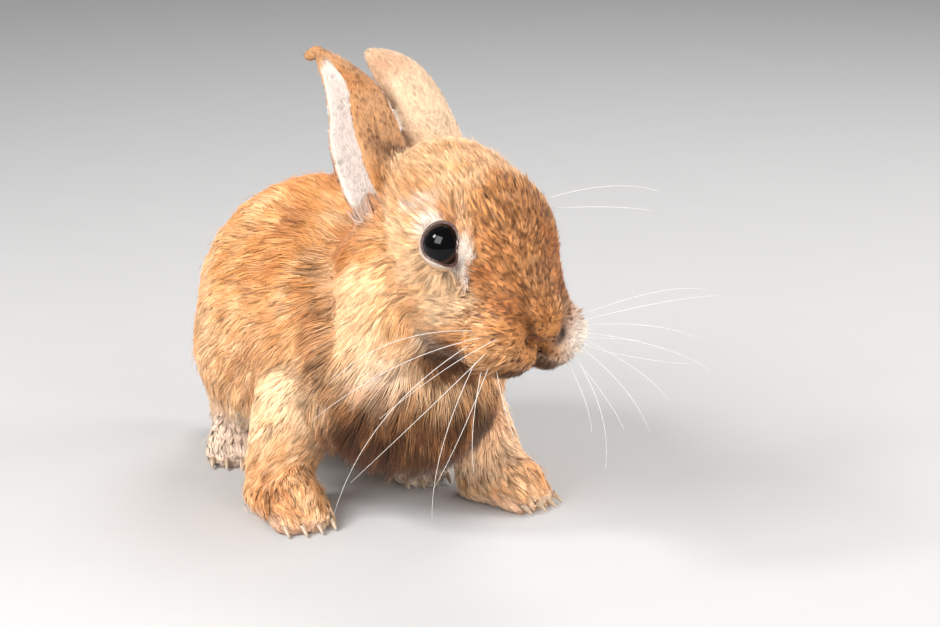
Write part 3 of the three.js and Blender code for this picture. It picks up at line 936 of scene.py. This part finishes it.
def folded(points, normals):
    """Points pressed in along the lines of the nose, mouth, pads and neck, and out at the pads."""
    local, depth = half_head(points), np.zeros(len(points))
    lines = [(local, line) for line in (NOSTRIL, CLEFT, MOUTH, *PAD_LINES, *NOSE_LINES)]
    lines += [(points - FLOOR_POINT, line) for line in NECK_FOLDS]
    for where, (a, b, width, deep) in lines:
        depth = np.maximum(depth, deep * bell(to_line(where, a, b), width))
    place, reach, swell = PAD_SWELL
    depth -= swell * bell(distance(local, place), reach)
    return points - normals * depth[:, None]


def closeness(points):
    """How full the hair is: 0 at the lids and nostrils, and 1 away from them."""
    past, _ = past_lid(points)
    gap = np.min([to_line(half_head(points), a, b) for a, b, *_ in (NOSTRIL, CLEFT)], axis=0)
    tip_of_nose = bell(distance(in_head(points), (41, 0, -12)), 7)
    return ease(0.2, 5, past) * ease(2.4, 8, gap) * (1 - 0.6 * tip_of_nose)


def free_tips(points, normals, belongs):
    """Where the hair's tips leave the skin: over the claws, and in the fringe under the chest."""
    claws = [middle(node) for node in frame["nodes"] if "_claw_" in node]
    gap = np.min([distance(points, place) for place in claws], axis=0)
    ahead, _, high = (points - FLOOR_POINT).T
    fringe = ease(0.3, -0.3, normals[:, 2]) * ease(-75, -50, ahead) * ease(58, 44, high)
    fringe *= belongs[:, numbers_of("trunk", "neck")].sum(1)
    return np.clip(bell(gap, 5.5) + 0.85 * fringe, 0, 0.9)


class RABBIT_OT_skin(bpy.types.Operator):
    """Makes one skin over all the flesh, with lids, nostrils and mouth"""

    bl_idname = "rabbit.skin"
    bl_label = "Skin"

    def execute(self, context):
        s, coat = context.scene.rabbit_skin, context.scene.rabbit_coat
        copies = flesh_copies()
        tree, face_kinds = flesh_tree(copies)
        skin = raw_skin(copies, s)
        surface = Surface(skin.data)
        outline = surface.points.copy()
        kinds = np.array([face_kinds[tree.find_nearest(p)[2]] for p in outline.tolist()])
        cover = surface.spread(np.array([COVER[k] for k in KINDS])[kinds], 22)
        depth = cover[:, 0]
        normals = surface.spread(surface.normals(), 2)
        past, _ = past_lid(outline)
        surface.points -= unit(normals) * (depth * ease(-1, 5, past))[:, None]
        surface.points = surface.spread(surface.points, 4, past > 1.5)
        shape_lids(surface.points, s)
        surface.points = points = folded(surface.points, surface.normals())
        points[:, 2] = np.maximum(points[:, 2], LOWEST)
        normals = surface.normals()
        room = surface.spread(np.clip(dot(outline - points, normals), 0.2, 1.3 * depth), 4)
        inner = surface.spread(ear_inside(points, normals, kinds), 9)
        flow = across_skin(surface.spread(lie_of_coat(points, normals, kinds), 14), normals)
        belongs = surface.spread(np.eye(len(KINDS))[kinds], 16)
        marks = markings(points, normals, belongs, inner)
        for name, values in marks.items():
            put_value(skin.data, name, values)
        pads = [f"whisker_pad_{side}" for side in SIDES]
        finish_piece(skin, skin_finish(s, coat), "skin", *FLESH, *pads)
        faces = [tuple(p.vertices) for p in skin.data.polygons]
        SKIN.update(
            piece=skin, points=points, normals=normals, flow=flow, cover=cover, kinds=kinds,
            room=room, close=closeness(points), padded=belongs[:, KINDS.index("pad")],
            free=free_tips(points, normals, belongs), marks=marks, inner=inner,
            tree=BVHTree.FromPolygons(points.tolist(), faces),
        )
        return {"FINISHED"}


# ---- coat
BAKE_MAP = "OFBake"
PATCH = 0.003  # how wide one tuft is on the bake map
LOCK = 13  # hairs that follow one leading hair
SPINDLE = {  # a bent lock: its root, a ring and its tip
    "faces": [(1, 3, 0), (3, 2, 0), (2, 1, 0), (3, 1, 4), (2, 3, 4), (1, 2, 4)],
    "along": [0, 0.5, 0.5, 0.5, 1],
    "across": [0, -1, 0, 1, 0],
    "lift": [0, -0.3, 0.6, -0.3, 0],
}
HAIR = {  # a short straight hair: one ring and a tip
    "faces": [(0, 1, 2), (1, 0, 3), (2, 1, 3), (0, 2, 3)],
    "along": [0, 0, 0, 1],
    "across": [-1, 1, 0, 0],
    "lift": [-0.3, -0.3, 0.6, 0],
}
REGIONS = {  # kinds of flesh, side of the body or 0 for both, tufts, and the form of each
    "coat_trunk_left": (("trunk",), 1, 21000, SPINDLE),
    "coat_trunk_right": (("trunk",), -1, 31000, SPINDLE),
    "coat_haunches": (("thigh", "tail"), 0, 27000, SPINDLE),
    "coat_neck": (("neck",), 0, 31000, SPINDLE),
    "coat_head_left": (("skull", "jaw"), 1, 32000, HAIR),
    "coat_head_right": (("skull", "jaw"), -1, 47000, HAIR),
    "coat_muzzle": (("muzzle", "pad"), 0, 48000, HAIR),
    "coat_ears": (("ear",), 0, 32000, HAIR),
    "coat_forelegs": (("foreleg", "forepaw"), 0, 25000, SPINDLE),
    "coat_hind_feet": (("hind_foot",), 0, 9500, SPINDLE),
}


def skin_patch(kinds, side):
    """The skin that a coat piece grows on: its triangles, and their corners on an unwrap of it."""
    skin = SKIN["piece"].data
    first = fetched(skin.polygons, "loop_start", kind=np.int32)
    lead = fetched(skin.loops, "vertex_index", kind=np.int32)[first]
    wanted = np.isin(SKIN["kinds"][lead], numbers_of(*kinds))
    if side:
        at = SKIN["points"][lead]
        split = in_head(at)[:, 1] if "skull" in kinds else at[:, 1] - FLOOR_POINT[1] + 2
        wanted &= (split > 0) == (side > 0)
    patch = add_object("patch", skin.copy())
    select_faces(patch, ~wanted)
    edited(patch, lambda: bpy.ops.mesh.delete(type="FACE"))
    patch.data.uv_layers.new(name=BAKE_MAP)
    layout = {"angle_limit": 1.15, "island_margin": 0.004, "scale_to_bounds": True}
    edited(patch, take_all, lambda: bpy.ops.uv.smart_project(**layout))
    mesh = patch.data
    mesh.calc_loop_triangles()
    loops = fetched(mesh.loop_triangles, "loops", 3, np.int32)
    corners = fetched(mesh.loops, "vertex_index", kind=np.int32)
    numbers = fetched(mesh.attributes["skin_number"].data, "value", kind=np.int32)
    uv = fetched(mesh.uv_layers[BAKE_MAP].uv, "vector", 2)
    bpy.data.objects.remove(patch)
    return numbers[corners[loops]], uv[loops]


def nearest(points):
    """The skin's nearest places and its outward directions there."""
    hits = [SKIN["tree"].find_nearest(p) for p in points.tolist()]
    return np.array([h[0] for h in hits]), np.array([h[1] for h in hits])


def scattered(rng, triangles, corners, count):
    """A way to read the skin at each of the scattered roots, and their places on the unwrap."""
    points, marks = SKIN["points"][triangles], SKIN["marks"]
    a, b, c = (points[:, k] for k in range(3))
    area = np.linalg.norm(np.cross(b - a, c - a), axis=1) / 2
    _, long, wide, close = SKIN["cover"][triangles].mean(1).T
    covered = (1 - np.maximum(marks["bare"], marks["hollow"]))[triangles].mean(1)
    on_floor = points[:, :, 2].mean(1) < LOWEST + 0.1
    weight = area * close / (long * wide) * np.clip(covered, 0, 1) ** 2 * ~on_floor
    chosen = rng.choice(len(triangles), count, p=weight / weight.sum())
    share = rng.random((count, 2))
    flip = share.sum(1) > 1
    share[flip] = 1 - share[flip]
    share = np.stack([1 - share.sum(1), share[:, 0], share[:, 1]], 1)

    def there(values):
        picked = values[triangles[chosen]]
        return (picked * share.reshape(share.shape + (1,) * (picked.ndim - 2))).sum(1)

    return there, (corners[chosen] * share[:, :, None]).sum(1)


def tuft_colours(rng, there, mine, short, long, streak, crest, wave):
    """The tone and markings of each tuft, some of them shared by the hairs of a lock."""
    count = len(mine)

    def of_lock():
        return rng.random(count)[mine]

    mixed = 1 - 0.7 * np.clip((3.9 - long) / 0.9, 0, 1)
    lock_tone, hair_tone = (of_lock() - 0.5) * mixed, rng.random(count) - 0.5
    tone = 0.5 + hair_tone * (0.24 + 0.36 * short) + lock_tone * (0.28 + 0.6 * short)
    tone += (streak - 0.5) * (0.6 + 0.2 * short)
    tone += (crest - 0.55) * (0.42 - 0.1 * short) + wave * (0.55 - 0.3 * short)
    values = {"tone": np.clip(tone, 0, 1)}
    for name in ("white", "cream", "rust", "ticked", "deep"):
        values[name] = there(SKIN["marks"][name])
    plain = 1 - values["white"]
    values["ticked"] *= 0.15 + 2.7 * of_lock() ** 2.2 * (0.6 + 0.8 * rng.random(count))
    # Some of the body's locks keep less of the painted shade.
    values["deep"] *= 1 - 0.6 * (of_lock() > 0.8) * (1 - short)
    values["cream"] += ((of_lock() - 0.5) * 0.45 + wave * 0.5) * mixed
    values["tone"] = 0.54 + (values["tone"] - 0.54) * (1 - 0.55 * values["white"])
    values["rust"] += (rng.random(count) > 0.9) * 0.35 * plain
    return {name: np.clip(value, 0, 1) for name, value in values.items()}


def tufts(rng, patch, count, form, s):
    """The points, outward directions, values and bake map places of one coat piece's tufts."""
    there, at_uv = scattered(rng, *patch, count)
    root, normal = there(SKIN["points"]), unit(there(SKIN["normals"]))
    _, long, width, _ = there(SKIN["cover"]).T
    close, inner, free = (there(SKIN[name]) for name in ("close", "inner", "free"))
    short = np.clip((9 - long) / 4, 0, 1)  # 1 on the face, ears and paws
    flow = across_skin(there(SKIN["flow"]), normal)
    swirl = (noise(root, 9, 21) - 0.5) * 0.7 + (noise(root, 3.5, 22) - 0.5) * 0.6
    swirl += rng.normal(0, 0.11, count)
    flow = flow * np.cos(swirl)[:, None] + np.cross(flow, normal) * np.sin(swirl)[:, None]
    length = long * (0.35 + 0.65 * close) * (1 - 0.35 * inner)
    length *= rng.uniform(0.72, 1.18, count) * (1 + 0.3 * free)
    width = width * (0.7 + 0.3 * close) * rng.uniform(0.7, 1.25, count)

    # Streaks along the lie of the coat, lower where it parts.
    place = root - FLOOR_POINT
    run = dot(place, flow)[:, None]
    streak = rough_noise(place - 0.82 * flow * run, 3.6, 41) * (1 - short)
    streak += rough_noise(place, 1.4, 43) * short
    wave = rough_noise(place - 0.6 * flow * run, 11, 45) - 0.5
    # Locks round a leading hair, highest and palest in their middles.
    leaders = rng.permutation(count)[: count // LOCK]
    tree = KDTree(len(leaders))
    for number, leader in enumerate(root[leaders].tolist()):
        tree.insert(leader, number)
    tree.balance()
    mine = leaders[[tree.find(p)[1] for p in root.tolist()]]
    off = distance(root, root[mine])
    crest = ease(1.7, 0.3, off / off.mean())
    height = there(SKIN["room"]) * (0.3 + 0.7 * close) * (0.62 + 0.26 * streak + 0.2 * crest)
    height *= rng.uniform(0.88, 1.05, count)
    stray = rng.random(count) < 0.012 + 0.025 * short
    height += stray * (0.16 + 0.2 * short) * length
    width *= np.where(stray, 0.45, 1)

    mid_foot, mid_up = nearest(root + flow * (length / 2)[:, None])
    onward = across_skin(flow, mid_up)
    tip_foot, tip_up = nearest(mid_foot + onward * (length / 2)[:, None])
    mid = mid_foot + mid_up * (height * 0.75)[:, None]
    tip = tip_foot + tip_up * height[:, None]
    tip += (root + flow * length[:, None] + normal * height[:, None] - tip) * free[:, None]
    # The hairs of a lock come together towards their tips.
    pull = (s.clumping + 0.3 * there(SKIN["padded"])) * (0.45 + 1.1 * noise(root, 11, 31)) * ~stray
    pull = np.clip(pull, 0, 0.85)[:, None]
    tip += (tip[mine] - tip) * pull
    mid += (mid[mine] - mid) * (pull * 0.35)
    for ring in (mid, tip):
        ring[:, 2] = np.maximum(ring[:, 2], LOWEST + 0.05)

    # Each point of the form stands at the root, halfway or at the tip, with a share of the width.
    stations = {0: (root - normal * 0.35, 0.8, normal), 0.5: (mid, 1.0, mid_up), 1: (tip, 0.0, tip_up)}
    across = unit(np.cross(tip - root, normal))
    soft = np.clip(s.softness + 0.12 * (1 - 2 * short), 0, 1)[:, None]
    verts, bent = [], []
    for along, side, lift in zip(form["along"], form["across"], form["lift"]):
        here, share, up = stations[along]
        out = across * (side * 0.5) + normal * (lift * 0.75)
        verts.append(here + out * (width * share)[:, None])
        own = unit(across * side + normal * (lift + 0.35))
        bent.append(unit(up * soft + own * (1 - soft)))
    values = tuft_colours(rng, there, mine, short, long, streak, crest, wave)
    return np.stack(verts, 1), np.stack(bent, 1), values, at_uv


def coat_mesh(name, form, verts, bent, values, at_uv):
    """One mesh of all the tufts, with their values and bake map, lit along the bent directions."""
    count, ring = verts.shape[:2]
    corners = (np.ravel(form["faces"]) + np.arange(count)[:, None] * ring).ravel()
    starts = np.arange(0, len(corners), 3)
    mesh = bpy.data.meshes.new(name)
    mesh.vertices.add(count * ring)
    mesh.loops.add(len(corners))
    mesh.polygons.add(len(starts))
    put(mesh.loops, "vertex_index", corners, np.int32)
    put(mesh.polygons, "loop_start", starts, np.int32)
    put(mesh.vertices, "co", verts * MM)
    mesh.update(calc_edges=True)
    put_value(mesh, "along", np.tile(form["along"], count))
    for key, value in values.items():
        put_value(mesh, key, np.repeat(value, ring))
    spread = np.stack([np.array(form["across"]) * 0.5, np.array(form["along"]) - 0.5], 1) * PATCH
    uv = (at_uv[:, None] + spread).reshape(-1, 2)[corners]
    put(mesh.uv_layers.new(name=BAKE_MAP).uv, "vector", np.clip(uv, 0, 1))
    put(mesh.polygons, "use_smooth", np.ones(len(starts)), bool)
    mesh.normals_split_custom_set_from_vertices(bent.reshape(-1, 3).astype(np.float32))
    return mesh


class RABBIT_OT_coat(bpy.types.Operator):
    """Grows the fur over the skin, one piece for each region of the body"""

    bl_idname = "rabbit.coat"
    bl_label = "Coat"

    def execute(self, context):
        if not SKIN:
            raise RuntimeError("make the skin before the coat")
        s = context.scene.rabbit_coat
        material = coat_finish(s)
        skin = SKIN["piece"].data
        numbers = skin.attributes.new("skin_number", "INT", "POINT")
        put(numbers.data, "value", np.arange(len(skin.vertices)), np.int32)
        for seed, (name, (kinds, side, count, form)) in enumerate(REGIONS.items(), 1):
            rng = np.random.default_rng(seed)
            made = tufts(rng, skin_patch(kinds, side), count, form, s)
            finish_piece(add_object(name, coat_mesh(name, form, *made)), material, "coat_orange")
        skin.attributes.remove(skin.attributes["skin_number"])
        return {"FINISHED"}


# ---- eyes
IRIS_EDGE = 58  # degrees from the middle of the gaze


class RABBIT_OT_eyes(bpy.types.Operator):
    """Makes the two eyeballs"""

    bl_idname = "rabbit.eyes"
    bl_label = "Eyes"

    def execute(self, context):
        s = context.scene.rabbit_eyes
        material = eye_finish(s)
        for side in SIDES:
            look, fore, _ = gaze_axes(side)
            eye = add_ball(72, 48, EYE_RADIUS)
            eye.name = eye.data.name = f"eyeball_{side}"
            at = mesh_points(eye.data) / EYE_RADIUS
            tilt = np.degrees(np.arccos(np.clip(at[:, 2], -1, 1)))
            size = EYE_RADIUS + s.bulge / MM * ease(62, 20, tilt)
            axes = np.stack([fore, np.cross(look, fore), look]) @ HEAD_AXES
            put_points(eye.data, EYES[side] + (at * size[:, None]) @ axes)
            put_value(eye.data, "gaze", tilt / IRIS_EDGE)
            spoke = np.concatenate([unit(at[:, :2]) * 3, (tilt / 90)[:, None]], 1)
            put(eye.data.attributes.new("spoke", "FLOAT_VECTOR", "POINT").data, "vector", spoke)
            finish_piece(eye, material, "eye", f"eye_{side}")
        return {"FINISHED"}


# ---- claws
class RABBIT_OT_claws(bpy.types.Operator):
    """Makes the claws of each paw, smooth and with their tips paler"""

    bl_idname = "rabbit.claws"
    bl_label = "Claws"

    def execute(self, context):
        s = context.scene.rabbit_claws
        material = claw_finish(s)
        for foot, side in product(("fore", "hind"), SIDES):
            nodes = sorted(n for n in frame["nodes"] if n.startswith(f"{foot}_claw_{side}"))
            claws = [add_object("claw", frame["nodes"][node].data.copy()) for node in nodes]
            for claw in claws:
                edited(claw, take_all, merge_doubles)
                modified(claw, "SUBSURF", levels=2, render_levels=2)
                grow(claw, s.thicken)
                x = mesh_points(claw.data)[:, 0]
                put_value(claw.data, "along", (x - x.min()) / np.ptp(x))
            finish_piece(joined(claws, f"{foot}_claws_{side}"), material, "claw", *nodes)
        return {"FINISHED"}


# ---- whiskers
# Root and tip of each in the head's axes. The right ones sweep back and down, the left ones stand out.
WHISKERS = {
    "left": (
        ((35, 13, -13), (49, 58, -5)), ((36, 14, -16), (61, 52, -24)),
        ((34, 15, -15), (50, 52, -16)), ((35, 13, -20), (64, 29, -42)),
        ((36, 12, -22), (64, 12, -48)), ((34, 15, -19), (59, 39, -34)),
        ((33, 15, -12), (41, 58, -3)), ((35, 13, -24), (60, 22, -39)),
        ((33, 15, -22), (52, 50, -25)), ((36, 12, -18), (45, 33, -19)),
        ((35, 11, -25), (55, 11, -40)), ((2, 14, 13), (28, 40, 27)),
        ((5, 13, 11), (32, 37, 21)),
    ),
    "right": (
        ((30, -18, -16), (29, -78, -37)), ((27, -19, -20), (46, -74, -60)),
        ((31, -17, -20), (44, -70, -49)), ((29, -18, -23), (60, -49, -59)),
        ((32, -16, -24), (54, -47, -52)), ((33, -14, -26), (56, -21, -36)),
        ((33, -15, -15), (43, -63, -30)), ((26, -19, -16), (23, -69, -28)),
        ((30, -17, -27), (54, -34, -47)),
    ),
}
WHISKER_POINTS = 17


def add_whisker(curve, root, end):
    """One spline that leaves the skin upright, bends towards its end and grows thin."""
    foot, up = (v[0] for v in nearest(from_head(root)[None]))
    length = np.linalg.norm(end - foot)
    bend = foot + (0.45 * unit(end - foot) + 0.25 * up) * length + (0, 0, 0.06 * length)
    t = np.linspace(0, 1, WHISKER_POINTS)[:, None]
    line = (foot - up) * (1 - t) ** 2 + 2 * bend * t * (1 - t) + end * t**2
    line[:, 2] = np.maximum(line[:, 2], 2 * LOWEST)
    spline = curve.splines.new("POLY")
    spline.points.add(WHISKER_POINTS - 1)
    put(spline.points, "co", np.concatenate([line * MM, np.ones_like(t)], 1))
    put(spline.points, "radius", 1.0 - 0.65 * t**1.5)


class RABBIT_OT_whiskers(bpy.types.Operator):
    """Makes the whiskers on both sides of the muzzle and over the eyes"""

    bl_idname = "rabbit.whiskers"
    bl_label = "Whiskers"

    def execute(self, context):
        if not SKIN:
            raise RuntimeError("make the skin before the whiskers")
        s = context.scene.rabbit_whiskers
        material = whisker_finish(s)
        rng = np.random.default_rng(77)
        for side, whiskers in WHISKERS.items():
            curve = bpy.data.curves.new(f"whiskers_{side}", "CURVE")
            curve.dimensions = "3D"
            curve.bevel_depth = s.thickness / 2
            curve.bevel_resolution = 1
            curve.use_fill_caps = True
            for root, end in whiskers:
                add_whisker(curve, root, from_head(np.array(end) + rng.normal(0, 1.0, 3)))
            only(add_object(curve.name, curve))
            bpy.ops.object.convert(target="MESH")
            finish_piece(bpy.context.object, material, "whisker")
        return {"FINISHED"}


# ---- studio
# Azimuth, elevation, distance, size, power, and whether the eyes and claws mirror the lamp.
LAMPS = {
    "key": (18, 36, 1.1, 0.55, 10.5, True),
    "front": (54, 10, 1.3, 1.3, 5.5, False),
    "fill": (106, 14, 1.2, 1.1, 13.5, False),
    "side": (158, 26, 1.1, 0.5, 6, True),
    "rim": (220, 52, 1.1, 0.5, 4.5, True),
    "catch": (-14, 42, 0.9, 0.17, 3.6, True),
}
LIT = (-40, 0, 70)  # what the lamps point at, from the floor point
CAMERA_OVER, CAMERA_AIM = (0, 0, 85), (0, 0, 80.5)  # what the camera circles and what it points at
SENSOR, CLIP_START, CLIP_END = 36, 0.01, 50
SKY, SKY_POWER = (0.90, 0.94, 1.0, 1), 0.28
FLOOR_SIZE = 8


def outwards(azimuth, elevation):
    """The direction from the rabbit to a lamp or the camera."""
    level = math.cos(elevation)
    return Vector((math.sin(azimuth) * level, -math.cos(azimuth) * level, math.sin(elevation)))


def in_room(place):
    return Vector((FLOOR_POINT + place) * MM)


def turn_to(ob, way):
    """Turns a lamp or the camera to look that way."""
    ob.rotation_euler = way.to_track_quat("-Z", "Y").to_euler()


class RABBIT_OT_studio(bpy.types.Operator):
    """Makes the floor, the lights and the camera"""

    bl_idname = "rabbit.studio"
    bl_label = "Studio"

    def execute(self, context):
        s, scene = context.scene.rabbit_studio, context.scene
        deselect()
        bpy.ops.mesh.primitive_plane_add(size=FLOOR_SIZE)
        floor = context.object
        floor.name = "floor"
        floor.data.materials.append(floor_finish(s))
        floor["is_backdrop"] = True
        world = bpy.data.worlds.new("studio")
        world.use_nodes = True
        sky = world.node_tree.nodes["Background"].inputs
        sky["Color"].default_value, sky["Strength"].default_value = SKY, SKY_POWER
        scene.world = world
        scene.view_settings.view_transform = "Standard"
        for name, (azimuth, elevation, away, size, power, mirrored) in LAMPS.items():
            back = outwards(math.radians(azimuth), math.radians(elevation))
            bpy.ops.object.light_add(type="AREA", location=in_room(LIT) + back * away)
            lamp = context.object
            lamp.name = name
            lamp.data.size, lamp.data.energy = size, power
            lamp.visible_glossy = mirrored
            turn_to(lamp, -back)
        place = in_room(CAMERA_OVER) + outwards(s.azimuth, s.elevation) * s.distance
        bpy.ops.object.camera_add(location=place)
        camera = context.object
        turn_to(camera, in_room(CAMERA_AIM) - place)
        camera.data.sensor_width, camera.data.lens = SENSOR, s.lens
        camera.data.clip_start, camera.data.clip_end = CLIP_START, CLIP_END
        scene.camera = camera
        return {"FINISHED"}


# ---- panel and start
SETTINGS = {
    "rabbit_skin": SkinSettings,
    "rabbit_coat": CoatSettings,
    "rabbit_eyes": EyeSettings,
    "rabbit_claws": ClawSettings,
    "rabbit_whiskers": WhiskerSettings,
    "rabbit_studio": StudioSettings,
}
OPERATORS = (
    RABBIT_OT_studio, RABBIT_OT_skin, RABBIT_OT_coat,
    RABBIT_OT_eyes, RABBIT_OT_claws, RABBIT_OT_whiskers,
)


class RABBIT_PT_panel(bpy.types.Panel):
    """Lists the pieces in the order in which they are made"""

    bl_idname = "RABBIT_PT_panel"
    bl_label = "Dwarf rabbit"
    bl_space_type = "VIEW_3D"
    bl_region_type = "UI"
    bl_category = "Rabbit"

    def draw(self, context):
        for operator in OPERATORS:
            self.layout.operator(operator.bl_idname)


CLASSES = (*SETTINGS.values(), *OPERATORS, RABBIT_PT_panel)


def register():
    for cls in CLASSES:
        bpy.utils.register_class(cls)
    for name, cls in SETTINGS.items():
        setattr(bpy.types.Scene, name, bpy.props.PointerProperty(type=cls))


def unregister():
    for name in SETTINGS:
        delattr(bpy.types.Scene, name)
    for cls in reversed(CLASSES):
        bpy.utils.unregister_class(cls)


def main():
    register()
    for operator in OPERATORS:
        group, name = operator.bl_idname.split(".")
        getattr(getattr(bpy.ops, group), name)()
    sizes = [[list(corner) for corner in box] for box in (CAD_BOX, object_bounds())]


if __name__ == "__main__":
    main()
